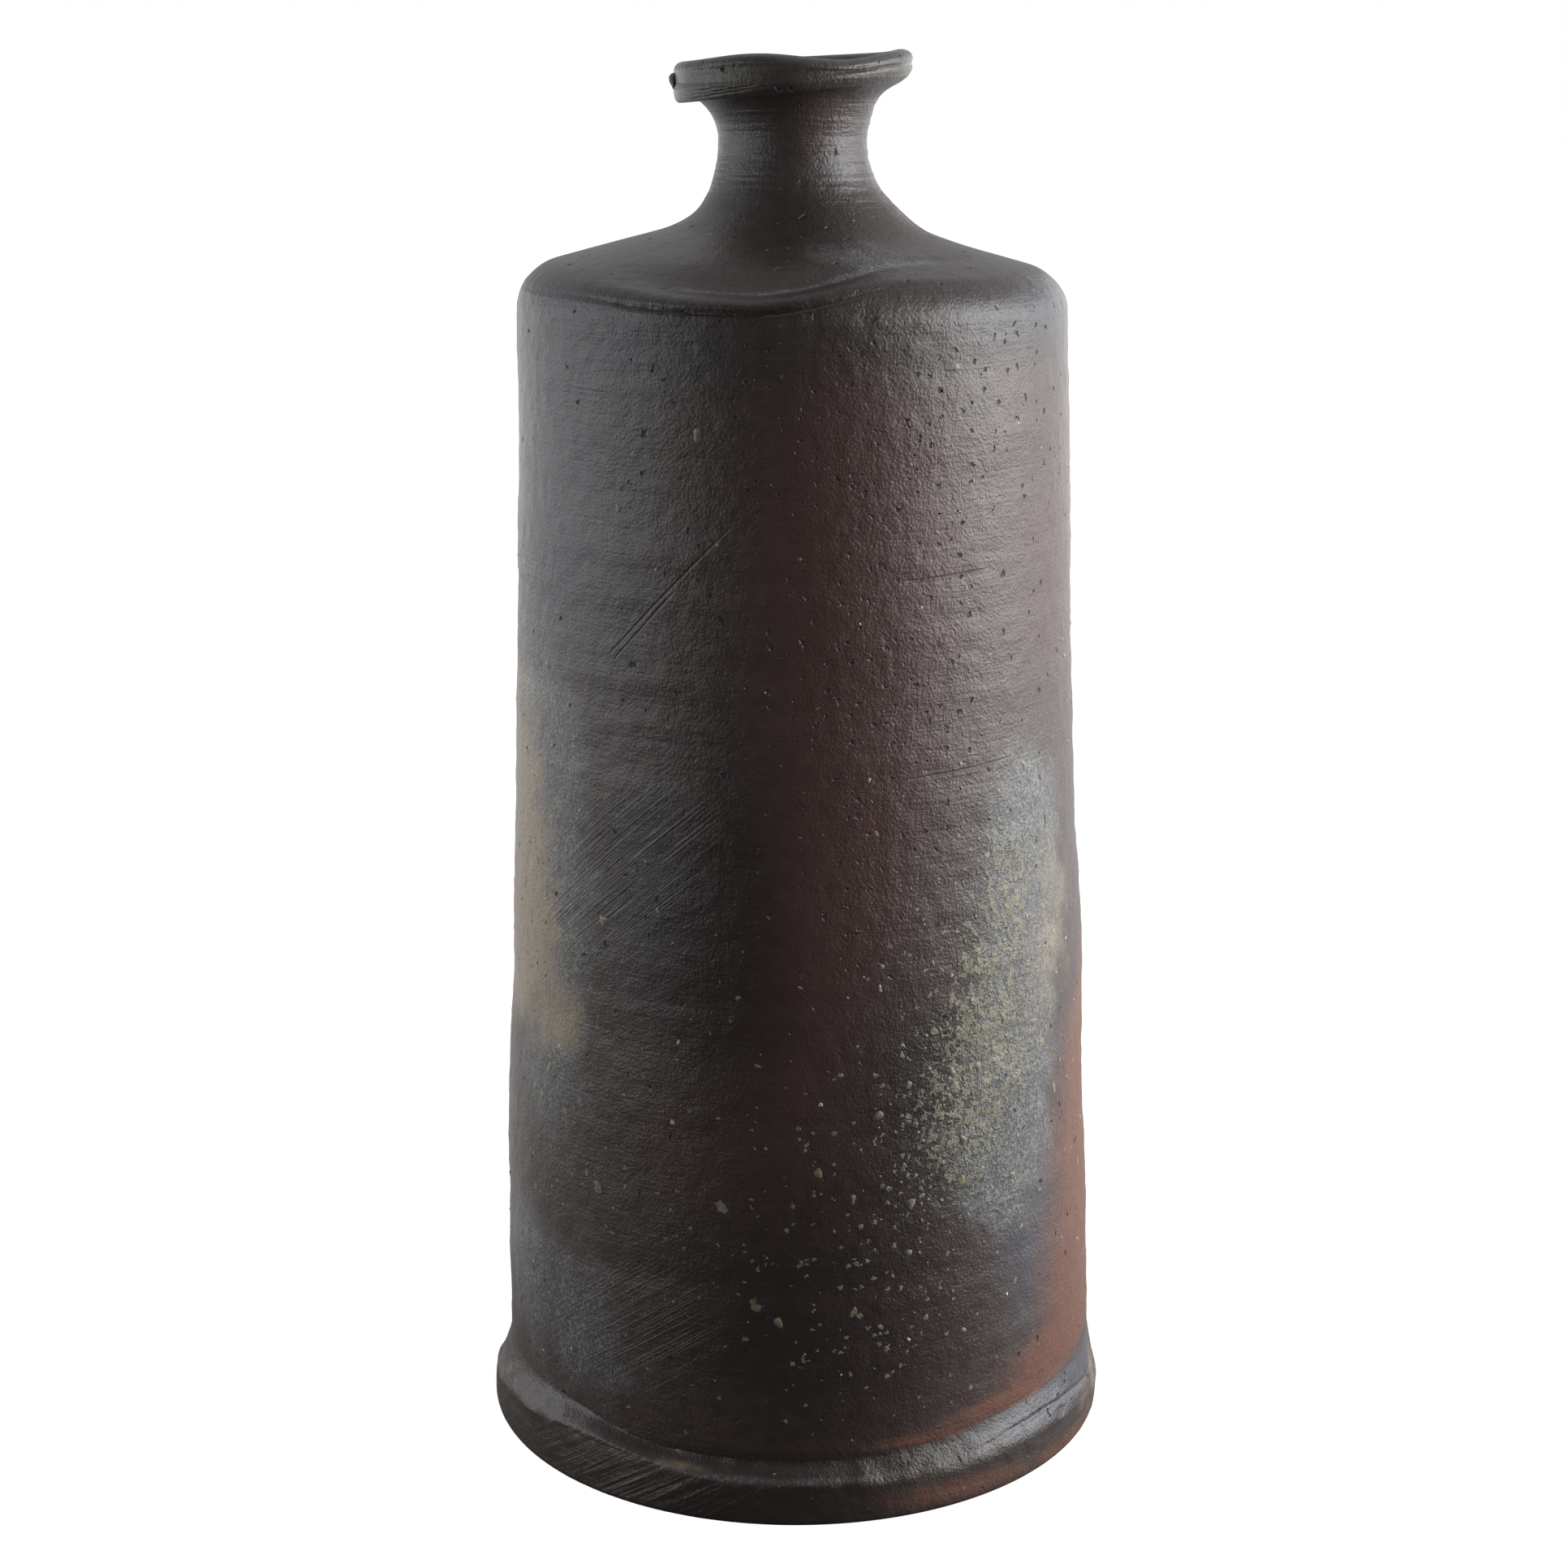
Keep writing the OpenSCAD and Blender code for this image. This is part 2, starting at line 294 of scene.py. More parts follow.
def firing(turn, height):
    """Where the flame and the ash went: one share from 0 to 1 for each colour, over the whole outside."""
    turn, height = np.broadcast_arrays(turn, height)
    spread = lambda *ovals: np.clip(sum(k * patch(turn, height, *oval) for k, oval in ovals), 0, 1)
    return {
        "blue": spread((1.0, (-150, 152, 34, 30)), (0.7, (-25, 180, 36, 8)), (0.5, (-120, 95, 16, 26)),
                       (0.7, (-165, 200, 60, 9)), (1.0, (-30, 10.2, 30, 3)), (0.5, (95, 140, 50, 50)),
                       (0.8, (-40, 40, 12, 24)), (0.6, (-48, 199, 20, 5)), (0.6, (-130, 176, 30, 8))),
        "red": spread((1.0, (-78, 118, 18, 28, 0.1)), (0.8, (-92, 80, 17, 22, 0.3)),
                      (0.8, (-76, 152, 24, 24)), (0.6, (-106, 58, 18, 13)), (0.7, (-25, 140, 30, 30)),
                      (0.5, (-68, 203, 34, 6)), (0.6, (60, 110, 34, 50)), (0.5, (150, 40, 26, 24)),
                      (0.5, (-160, 30, 20, 18))),
        "ash": spread((0.9, (-37, 103, 13, 15)), (0.9, (-42, 80, 16, 20)), (0.9, (-48, 54, 15, 16)),
                      (1.0, (-149, 116, 15, 15)), (1.0, (-145, 88, 15, 18)), (0.6, (-145, 62, 14, 12)),
                      (0.5, (-160, 30, 12, 16)), (0.7, (-138, 26, 22, 17)), (0.7, (172, 100, 24, 32)),
                      (0.5, (-70, 187, 30, 3)), (0.6, (-10, 212, 24, 4)), (0.7, (-168, 211, 24, 5)),
                      (0.5, (120, 95, 30, 30)), (0.5, (-95, 7.4, 40, 0.7))),
        "ochre": spread((1.0, (-168, 104, 19, 21)), (1.0, (-162, 84, 18, 15)), (0.45, (-140, 72, 12, 7)),
                        (0.6, (178, 96, 20, 26)), (0.5, (-30, 86, 14, 20)), (0.5, (-12, 6, 16, 5)),
                        (0.45, (-118, 8.2, 22, 0.8))),
        "scorch": spread((1.0, (0, 62, 29, 19)), (1.0, (-4, 42, 30, 15)), (1.0, (-12, 26, 27, 9)),
                         (1.0, (-28, 17.5, 19, 3.8)), (1.0, (-48, 13.6, 16, 1.6)),
                         (0.7, (-66, 11.4, 13, 1.1)), (0.65, (-62, 3.2, 17, 2.4)), (0.6, (-30, 1.6, 22, 2.4)),
                         (0.5, (30, 60, 26, 30))),
        # The dark mark is soot, but its thin ring at 9.4 mm in front is painted shade in the groove where the
        # ledge meets the wall, and its ring at 209 mm is painted shadow under the lip's band.
        "dark": spread((1.0, (-104, 90, 17, 34)), (1.0, (-84, 30, 31, 24)), (0.8, (-66, 66, 16, 22)),
                       (1.0, (-95, 2.5, 26, 4)), (0.9, (-92, 9.4, 30, 1.4)), (0.8, (-142, 10.6, 26, 2.0)),
                       (0.5, (-95, 172, 22, 7)), (0.9, (-75, 188, 60, 8)), (0.5, (-40, 187, 40, 6)),
                       (0.6, (-95, 209, 40, 4))),
        "spots": spread((1.0, (-50, 76, 15, 19)), (0.7, (-43, 98, 12, 12)), (0.5, (-60, 58, 16, 14)),
                        (0.35, (-150, 90, 12, 22)), (0.12, (-95, 50, 50, 26)), (0.2, (-142, 60, 16, 12)),
                        (0.5, (176, 96, 26, 30)), (0.2, (90, 70, 60, 50)), (0.3, (-75, 34, 18, 14))),
        "pits": spread((0.8, (-82, 158, 26, 26)), (0.8, (-72, 122, 24, 26)), (0.5, (-40, 165, 24, 14)),
                       (0.5, (-30, 9, 20, 3)), (0.3, (-155, 24, 14, 12)), (0.4, (60, 130, 50, 50))),
        "comb": spread((1.0, (-126, 99, 15, 12, 0.9))),
        "comb_low": spread((0.7, (-122, 28, 20, 12, 0.4)), (1.0, (-122, 5, 14, 4))),
    }


FINE = 2 * COLUMNS
turn = np.arange(FINE) * 2 * math.pi / FINE + math.pi / 2
sill = 1.2 * MM
s = np.linspace(0, 1, 12)[:, None]
arc = -math.pi / 2 + s * math.pi / 2
low_r, low_z = foot_radius - sill + sill * np.cos(arc), sill + sill * np.sin(arc)
# The band's thickness dies away from its brow to where it meets the wall. k is 1 where the brow is soft and
# the ledge ends sharply, as in front, and 0 where the brow is sharp and the ledge long, as at the sides.
aside = np.abs(off(turn, -95))
brow = 6.4 + 2.4 * bell(off(turn, -131) / 19) - 3.0 * ease(aside, 62, 95)
brow = (brow + 0.45 * lattice(turn, 0 * turn, 17, 1, 22) + 0.25 * lattice(turn, 0 * turn, 60, 1, 23)) * MM
k = 1 - ease(aside, 35, 85)
s = np.linspace(0, 1, 62)[1:, None]
band_z = sill + (seat(turn) - sill) * s
t = np.clip((band_z - brow) / (seat(turn) - brow), 0, 1)
thick = (foot_radius - wall_radius(0)) * (1 - t) ** 2 * (1 + 2 * k * t)
lean_in = (wall_radius(0) - wall_radius(band_z)) * t
band_r = np.where(t > 0, wall_radius(0) + thick - lean_in, foot_radius + 0 * band_z)
r = np.vstack([low_r * np.ones(FINE), band_r])
z = np.vstack([low_z * np.ones(FINE), band_z])
weight = ease(z, 0, 1.5 * MM)
gouge_slope = 0.62
gouge = lattice(turn, z - gouge_slope * foot_radius * turn, 26, 0.42 * MM, 21) * bell(off(turn, -120) / 19)
gouge = gouge * bell((z - 5 * MM) / (4 * MM))
notch = bell(off(turn, -33) / 20) * bell((z - 8.6 * MM - 0.8 * MM * np.sin(turn * 7)) / (0.35 * MM))
lumps = lattice(turn, z, 110, 1.9 * MM, 24) * bell((z - brow - 1.6 * MM) / (2.5 * MM))
r = r + weight * relief(turn, z) + (0.15 * gouge - 0.35 * notch + 0.2 * lumps) * MM
ones = np.ones(FINE)
hidden = [(wall_radius(slab_top) * ones, slab_top * ones), (slab_radius * ones, slab_top * ones)]
hidden += [((slab_radius - slab_splay * (1 - t)) * ones, slab_top * t * ones) for t in (0.66, 0.33, 0.0)]
r = np.vstack([r, *(h[0][None] for h in hidden)])
z = np.vstack([z, *(h[1][None] for h in hidden)])
foot_band = skin("bottle_foot_band", r, z, marks=firing(turn, z), place=sway)


unrolled_radius = 44.5 * MM


def fired_clay(name, under, sheen=0.5, turning=0.05):
    """Unglazed stoneware from a wood kiln. `under` is the colour of the body where nothing landed on it,
    and `turning` is the depth in millimetres of the lines that the wheel left. The marks painted on each
    mesh say where the blue-grey skin, red, ash, ochre, scorch and soot lie; the soot mark, called dark,
    also carries painted shade as thin lines in creases. The orange mark is called scorch because the
    renderer keeps the name flame for volumes."""
    b = Bench(name)
    unrolled = b.node("ShaderNodeUVMap", {"uv_map": "round_and_up"})
    drift = b.cloud(8 * MM, 5, 0.62) - 0.5
    grit = b.cloud(0.42 * MM, 3)
    mottle = b.cloud(2.6 * MM, 4, 0.65)
    speckle = b.cloud(0.5 * MM, 4, 0.75, (1, 1, 1.4))
    worn = lambda mark, low, high, k=0.6: (b.mark(mark) + drift * k).rise(low, high)

    def drops(size, share, low, high, vary=0.2):
        """Blots, each in its own cell `size` across. A cell has one where its own number is under share.
        A blot is solid inside low of its middle and gone at high, and each may be wider by up to vary."""
        bent = {"Vector": b.where(), "Scale": 1.6 / size, "Detail": 1.0}
        warp = b.node("ShaderNodeTexNoise", {}, bent, out=1)
        moved = b.node("ShaderNodeVectorMath", {"operation": "MULTIPLY_ADD"},
                       {0: warp, 1: (size * 0.95,) * 3, 2: b.where()})
        cells = {"Vector": moved, "Scale": 1 / size}
        distance = b.node("ShaderNodeTexVoronoi", {}, cells)
        hue = b.node("ShaderNodeTexVoronoi", {}, cells, out=1)
        number = b.node("ShaderNodeSeparateColor", {}, {0: hue}, out=0)
        breadth = b.node("ShaderNodeSeparateColor", {}, {0: hue}, out=1)
        return (number < share) * (1 - (distance - breadth * vary).rise(low, high))

    colour = b.blend(mottle.rise(0.3, 0.7) * 0.6, under, tuple(c * 1.6 for c in under))
    colour = b.blend(worn("blue", 0.15, 0.85), colour, (0.047, 0.046, 0.056))
    colour = b.blend(worn("red", 0.12, 0.9) * 0.9, colour, (0.058, 0.030, 0.027))
    # Soot, and painted shade where the dark mark runs as a thin line in a crease.
    colour = b.blend(worn("dark", 0.2, 0.95) * 0.75, colour, (0.0185, 0.0118, 0.0115))
    scorched = worn("scorch", 0.2, 0.85, 0.8) * (0.55 + mottle * 0.6).clamp()
    colour = b.blend(scorched, colour, (0.118, 0.046, 0.027))
    film = worn("ash", 0.25, 0.85, 0.9)
    colour = b.blend(film * 0.75, colour, (0.070, 0.071, 0.071))
    colour = b.blend(film * speckle.rise(0.47, 0.6) * 0.8, colour, (0.185, 0.19, 0.19))
    crusted = worn("ochre", 0.25, 0.8, 0.9) * (0.45 + speckle * 0.8).clamp()
    colour = b.blend(crusted, colour, (0.245, 0.195, 0.13))
    spots = b.mark("spots")
    small = drops(1.0 * MM, spots * 0.62 + film * 0.06, 0.14, 0.28)
    large = drops(2.4 * MM, spots * 0.3 - 0.02, 0.17, 0.26)
    lace = (b.cloud(1.15 * MM, 2, 0.6) + (spots + drift * 0.5) * 0.24).rise(0.71, 0.77) * spots.rise(0.4, 0.8)
    goma = (small + large + lace).clamp()
    melt = b.blend(mottle.rise(0.35, 0.65), (0.112, 0.104, 0.068), (0.20, 0.188, 0.132))
    colour = b.blend(goma * 0.85, colour, melt)
    # Pin holes: a dent by bump, and painted near black for the shade inside each hole.
    pits = drops(1.6 * MM, b.mark("pits") * 0.5 + 0.05, 0.09, 0.2, 0.12) * (1 - goma)
    colour = b.blend(pits * 0.8, colour, (0.006, 0.005, 0.005))
    flecks = drops(1.3 * MM, 0.03 + film * 0.06 + spots * 0.05, 0.04, 0.12, 0.08) * (1 - pits)
    colour = b.blend(flecks * 0.7, colour, (0.40, 0.37, 0.32))

    def drawn(mark, tilt, size):
        """Lines left by a dragged comb, which rise to the right by `tilt` degrees."""
        turned = b.node("ShaderNodeMapping", {}, {0: unrolled, 2: (0, 0, math.radians(-tilt))})
        return b.mark(mark).rise(0.15, 0.6) * b.cloud(size, 1, 0.5, (70, 1, 1), turned).rise(0.5, 0.62)

    def scratch(start, end, width):
        """One scored line between two places, each a bearing in degrees and a height in millimetres."""
        spots_uv = [(math.radians((t - 90) % 360) * unrolled_radius, h * MM) for t, h in (start, end)]
        (u0, v0), (u1, v1) = spots_uv
        length = math.hypot(u1 - u0, v1 - v0)
        du, dv = (u1 - u0) / length, (v1 - v0) / length
        u = b.node("ShaderNodeSeparateXYZ", {}, {0: unrolled}) - u0
        v = b.node("ShaderNodeSeparateXYZ", {}, {0: unrolled}, out=1) - v0
        along = (u * du + v * dv) / length
        across = (u * dv - v * du).sum("ABSOLUTE")
        return (1 - across.rise(0.2 * width, width)) * along.rise(0, 0.12) * (1 - along.rise(0.8, 1))

    comb = (drawn("comb", 40, 0.36 * MM) + drawn("comb_low", 37, 0.34 * MM) * 0.35).clamp()
    scores = scratch((-129, 130), (-101, 151), 0.3 * MM) + scratch((-127.5, 129.6), (-113, 141), 0.28 * MM)
    scores = scores + scratch((-69, 142.1), (-48, 142.7), 0.22 * MM)
    scores = scores + scratch((-69, 113.5), (-44, 114.3), 0.22 * MM)
    colour = b.blend(comb * 0.45, colour, (0.085, 0.083, 0.08))
    colour = b.blend(scores.clamp() * 0.3, colour, (0.10, 0.095, 0.09))
    throwing = b.cloud(0.6 * MM, 2, 0.5, (45, 1, 1), unrolled)
    normal = b.bump(grit, 0.12 * MM)
    normal = b.bump(mottle, 0.22 * MM, normal)
    normal = b.bump(throwing, turning * MM, normal)
    normal = b.bump(comb, 0.12 * MM, normal)
    normal = b.bump(1 - scores, 0.14 * MM, normal)
    normal = b.bump(goma, 0.09 * MM, normal)
    normal = b.bump(1 - pits, 0.32 * MM, normal)
    rough = 0.34 + mottle * 0.12 + b.mark("scorch") * 0.24 + pits * 0.3 - film * 0.03
    return b.finish(Base_Color=colour, Roughness=rough.clamp(), Normal=normal, Specular_IOR_Level=sheen)


def lay_uv(piece):
    """UV in metres: turn times the wall's mean radius, from the bottle's back, and height. A face that
    crosses the back has its low turns raised by a whole turn, so that it doesn't run backwards."""
    mesh = piece.data
    spot = np.empty(len(mesh.vertices) * 3)
    mesh.vertices.foreach_get("co", spot)
    spot = spot.reshape(-1, 3)
    corner = np.empty(len(mesh.loops), int)
    mesh.loops.foreach_get("vertex_index", corner)
    turn = (np.arctan2(spot[:, 1], spot[:, 0]) - math.pi / 2) % (2 * math.pi)
    turn = turn[corner]
    start = np.empty(len(mesh.polygons), int)
    mesh.polygons.foreach_get("loop_start", start)
    total = np.diff(np.append(start, len(corner)))
    whole = np.repeat(np.maximum.reduceat(turn, start), total)
    turn = np.where((whole > 1.5 * math.pi) & (turn < 0.5 * math.pi), turn + 2 * math.pi, turn)
    uv = np.stack([turn * unrolled_radius, spot[corner, 2]], -1)
    mesh.uv_layers.new(name="round_and_up").data.foreach_set("uv", uv.ravel())


lay_uv(foot_band)
foot_band.data.materials.append(fired_clay("foot_clay", (0.032, 0.023, 0.020)))
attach(foot_band, "root")
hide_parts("foot_band")

# ---------------------------------------------------------------- wall
# The thrown wall, which stands on the slab inside the foot band. It tapers, swells a little low down,
# and ends in a bevel that the shoulder is lapped over. A comb was drawn across its left side.
wall_thickness = 5.5 * MM
lap_rise = 3 * MM
wall_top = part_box("wall")[1].z - lap_rise
s = np.linspace(0, 1, 190)[:, None]
z = seat(bearing) + (wall_top - seat(bearing)) * s
r = wall_radius(z) + relief(bearing, z)
inside = np.linspace(1, 0, 10)[:, None]
in_z = slab_top + (wall_top + lap_rise - slab_top) * inside + 0 * bearing
in_r = wall_radius(in_z) - wall_thickness + 0.25 * MM * lattice(bearing, in_z, 4, 14 * MM, 31)
seat_r = wall_radius(slab_top) + 0 * bearing[None]
wall = skin("bottle_wall", np.vstack([seat_r, r, in_r]), np.vstack([slab_top + 0 * seat_r, z, in_z]),
            marks=firing(bearing, np.vstack([slab_top + 0 * seat_r, z, in_z])), place=sway)
lay_uv(wall)
wall.data.materials.append(fired_clay("wall_clay", (0.036, 0.024, 0.022)))
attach(wall, "root")
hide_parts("wall")

# ---------------------------------------------------------------- shoulder
# The collar that closes the bottle in, lapped over the wall. While it was soft it was pressed down at the
# front left, which left a roll along its edge and a crease behind it.
shoulder_thickness = 5 * MM
neck_seam = math.radians(225)
s = np.linspace(0, 1, 30)[:, None]
skirt_z = wall_top + (edge_height - wall_top) * s
arc = s * (math.pi / 2 - shoulder_slope)
edge_r, edge_z = edge_radius + shoulder_round * np.cos(arc), edge_height + shoulder_round * np.sin(arc)
slope_r = slope_foot_radius + (slope_top_radius - slope_foot_radius) * s
slope_z = slope_foot_height + (slope_top_height - slope_foot_height) * s
sweep = 1.5 * math.pi - shoulder_slope + (neck_seam - 1.5 * math.pi + shoulder_slope) * s
sweep_r = neck_radius + root_round + root_round * np.cos(sweep)
sweep_z = root_height + root_round * np.sin(sweep)
out_r = np.vstack([wall_radius(skirt_z), edge_r[1:], slope_r[1:], sweep_r[1:]])
out_z = np.vstack([skirt_z, edge_z[1:], slope_z[1:], sweep_z[1:]])
way = np.gradient(out_r[:, 0]), np.gradient(out_z[:, 0])
normal_r, normal_z = way[1] / np.hypot(*way), -way[0] / np.hypot(*way)
step_r, step_z = np.diff(out_r[:, 0], prepend=out_r[0, 0]), np.diff(out_z[:, 0], prepend=out_z[0, 0])
along = np.cumsum(np.hypot(step_r, step_z))[:, None]
edge_start = along[29]
side = off(bearing, -104)
crease_at = edge_start + (8.6 + 8.4 * ease(side, 5, 48) + 1.2 * ease(-side, 15, 40)) * MM
line_at = edge_start + (2.2 + 5.0 * ease(side, 6, 42) + 1.2 * ease(-side, 2, 38)) * MM
roll_at = line_at + 2.2 * MM
press = -2.1 * bell(side / 27) * bell((along - crease_at) / (4.4 * MM))
press = press + 0.8 * bell(side / 30) * bell((along - roll_at) / (1.8 * MM))
upright = np.clip((along - edge_start) / (line_at - edge_start), 0, 1) ** 2 * (along < line_at + 0.1 * MM)
press = press + 0.42 * bell(side / 32) * upright
press = press - 0.5 * bell(side / 30) * bell((along - line_at - 0.35 * MM) / (0.5 * MM))
press = press - 0.25 * bell((side - 45) / 40) * bell((along - crease_at) / (1.6 * MM))
moved = press * MM * ease(along, 0, 2 * MM)
calm = 1 - 0.5 * ease(out_z, slope_top_height, sweep_z[-1])
push = moved + relief(bearing, out_z) * calm
r = out_r + normal_r[:, None] * push
z = out_z + normal_z[:, None] * push
throat_radius = 7.2 * MM
throat_centre_r = throat_radius + root_round
throat_in_r = throat_radius + root_round * (1 - math.sin(shoulder_slope))
throat_height = (slope_top_height + math.tan(shoulder_slope) * (slope_top_radius - throat_in_r)
                 - shoulder_thickness / math.cos(shoulder_slope) + root_round * math.cos(shoulder_slope))
sweep_in = (sweep[::-1] + 0 * s)[::3]
in_r = np.vstack([throat_centre_r + root_round * np.cos(sweep_in),
                  edge_radius + (shoulder_round - wall_thickness) * np.cos(arc[::-6])])
in_z = np.vstack([throat_height + root_round * np.sin(sweep_in),
                  edge_height + (shoulder_round - wall_thickness) * np.sin(arc[::-6])])
last_z = wall_top + lap_rise
in_r = np.vstack([in_r, [[wall_radius(last_z) - wall_thickness]]]) + 0 * bearing
in_z = np.vstack([in_z, [[last_z]]]) + 0 * bearing
in_r[-1] = in_r[-1] + 0.25 * MM * lattice(bearing, in_z[-1], 4, 14 * MM, 31)
paint = firing(bearing, np.vstack([z, in_z]))
crease_ash = bell((along - crease_at) / (1.1 * MM)) * bell((side - 12) / 46) * 0.65
# A dark line along the roll's lower edge: painted shade where the roll overhangs the wall below it.
undercut_shade = bell((along - line_at - 0.2 * MM) / (0.7 * MM)) * bell(side / 32)
paint["ash"] = np.clip(paint["ash"] + np.vstack([crease_ash, 0 * in_z]), 0, 1)
paint["dark"] = np.clip(paint["dark"] + np.vstack([undercut_shade, 0 * in_z]), 0, 1)
shoulder = skin("bottle_shoulder", np.vstack([r, in_r]), np.vstack([z, in_z]), marks=paint, place=sway)
lay_uv(shoulder)
shoulder.data.materials.append(fired_clay("shoulder_clay", (0.034, 0.027, 0.025), 0.45, 0.08))
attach(shoulder, "root")
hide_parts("shoulder")

# ---------------------------------------------------------------- neck
# The waisted neck, thrown up from the shoulder with the throat in it. Its outside keeps the fine rings of
# the turning wheel. Its top is a dish that the folded lip lies in.
flare_round = 7 * MM
flare_end = math.radians(68)
neck_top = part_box("neck")[1].z
flare_height = neck_top - flare_round * math.sin(flare_end)
flare_end_radius = neck_radius + flare_round * (1 - math.cos(flare_end))
throat_top = flare_height + 3.2 * MM
s = np.linspace(0, 1, 46)[:, None]
low = neck_seam + (math.pi - neck_seam) * s
up = math.pi - flare_end * s
r = np.vstack([neck_radius + root_round + root_round * np.cos(low),
               (neck_radius + flare_round + flare_round * np.cos(up))[1:]]) + 0 * bearing
z = np.vstack([root_height + root_round * np.sin(low),
               (flare_height + flare_round * np.sin(up))[1:]]) + 0 * bearing
slant, climb = np.vstack([np.cos(low), np.cos(up)[1:]]), np.vstack([np.sin(low), np.sin(up)[1:]])
rings = 0.05 * lattice(bearing, z, 9, 0.45 * MM, 41) + 0.055 * lattice(bearing, z, 5, 1.5 * MM, 42)
fade = ease(z, z[0, 0], z[0, 0] + 1.5 * MM) * (1 - ease(z, neck_top - 1.2 * MM, neck_top))
push = relief(bearing, z) * 0.5 + rings * fade * MM
r, z = r - slant * push, z - climb * push * (1 - ease(z, neck_top - MM, neck_top))
s_in = np.linspace(0, 1, 9)[:, None]
low_in = math.pi + (neck_seam - math.pi) * s_in
in_r = np.vstack([[[throat_radius]], throat_centre_r + root_round * np.cos(low_in)]) + 0 * bearing
in_z = np.vstack([[[throat_top]], throat_height + root_round * np.sin(low_in)]) + 0 * bearing
neck = skin("bottle_neck", np.vstack([r, in_r]), np.vstack([z, in_z]),
            marks=firing(bearing, np.vstack([z, in_z])), place=sway)
lay_uv(neck)
neck.data.materials.append(fired_clay("neck_clay", (0.034, 0.027, 0.026), 0.42, 0.15))
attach(neck, "root")
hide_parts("neck")

# ---------------------------------------------------------------- folded lip
# The rim, folded outwards into a band and wetted smooth. It rises at the right, droops at the left, and
# keeps three fine turned grooves low on its face.
lip_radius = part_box("mouth_lip")[1].x + 0.15 * MM
lip_height = 4.9 * MM
lip_thickness = 3.4 * MM
lip_foot = neck_top


def rim_rise(turn):
    """Height of the rim above the lip's mean top. It is highest where it curls up at the right, swells at the
    front left, and dips at the front right."""
    swell = 0.6 * bell(off(turn, -112) / 28) - 0.9 * bell(off(turn, -62) / 26) + 0.3 * bell(off(turn, 4) / 18)
    return (0.6 + 0.75 * np.cos(turn) + swell) * MM


tip = 0.75 * (1 + np.cos(bearing)) * MM
rise = rim_rise(bearing) - tip
hang = (-0.3 + 2.5 * np.cos(bearing)) * MM - tip
ones = np.ones(COLUMNS)
s = np.linspace(0, 1, 34)[:, None]
corner = (2.6 - 0.8 * np.cos(bearing)) * MM
half = lip_thickness / 2
low = s * math.pi / 2
under_r = (flare_end_radius + (lip_radius - flare_end_radius) * np.sin(low)) * ones
under_z = lip_foot + hang * np.sin(low) ** 0.75 + corner * (1 - np.cos(low))
top_z = lip_foot + lip_height - 0.8 * half + rise
face_r = (lip_radius - 0.2 * MM * np.sin(math.pi * s)) * ones
face_z = (lip_foot + hang + corner) * (1 - s) + top_z * s
over = s * math.pi
top_r = (lip_radius - half + half * np.cos(over)) * ones
top_ring_z = top_z + 0.8 * half * np.sin(over)
quarter = s * math.pi / 2
funnel_r = (throat_radius + (lip_radius - lip_thickness - throat_radius) * (1 - np.sin(quarter))) * ones
funnel_z = throat_top + (top_z - throat_top) * np.cos(quarter)
r = np.vstack([under_r, face_r[1:], top_r[1:], funnel_r[1:]])
z = np.vstack([under_z, face_z[1:], top_ring_z[1:], funnel_z[1:]])
level = (z - lip_foot - hang) / MM
outer = ease(r, lip_radius - 2.2 * MM, lip_radius - 0.8 * MM)
grooved = np.clip(bell(off(bearing, -128) / 26) + 0.7 * bell(off(bearing, -48) / 24), 0, 1)
grooves = sum(bell((level - at - 0.08 * np.sin(3 * bearing)) / 0.13) for at in (2.0, 2.45, 2.95))
hand = 0.12 * lattice(bearing, z, 7, 4 * MM, 51) + 0.05 * lattice(bearing, z, 3, 0.6 * MM, 52)
r = r + outer * (hand - 0.16 * grooves * grooved) * MM - 0.35 * MM * outer * bell(off(bearing, -90) / 50)
mouth_lip = skin("bottle_mouth_lip", r, z, marks=firing(bearing, z), place=sway)
lay_uv(mouth_lip)
mouth_lip.data.materials.append(fired_clay("lip_clay", (0.040, 0.037, 0.033), 0.45, 0.12))
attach(mouth_lip, "root")
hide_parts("mouth_lip")

# ---------------------------------------------------------------- kiln crumb
# A crumb of grit that fell from the kiln roof and fused to the left end of the lip. It is dark and
# angular, and it is bedded in the clay by about a third.
crumb_turn = math.radians(184)
crumb_size = 1.25 * MM
polar, round_it = np.meshgrid(np.linspace(0, math.pi, 20)[1:-1], np.arange(40) * math.pi / 20, indexing="ij")
knobs = 1 + 0.16 * lattice(round_it, polar, 5, 0.7, 61) + 0.10 * lattice(round_it, polar, 9, 0.35, 62)
crumb_r = crumb_size * knobs * np.sin(polar)
crumb_z = lip_foot + 0.42 * lip_height + rim_rise(crumb_turn) + crumb_size * knobs * np.cos(polar)


def on_the_lip(x, y, height):
    """Carries the crumb out to the lip's left end, a third of it inside the clay."""
    out = lip_radius - 0.35 * crumb_size
    return sway(x * 0.85 + out * math.cos(crumb_turn), y * 1.1 + out * math.sin(crumb_turn), height)


kiln_crumb = skin("bottle_kiln_crumb", crumb_r, crumb_z, poles=True, place=on_the_lip)
bench = Bench("fused_kiln_grit")
lumps = bench.cloud(0.5 * MM, 4)
colour = bench.blend(lumps.rise(0.4, 0.7), (0.018, 0.013, 0.011), (0.09, 0.06, 0.04))
bump = bench.bump(lumps, 0.2 * MM)
kiln_crumb.data.materials.append(bench.finish(Base_Color=colour, Roughness=0.35 + lumps * 0.3, Normal=bump))
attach(kiln_crumb, "root")
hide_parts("kiln_crumb")

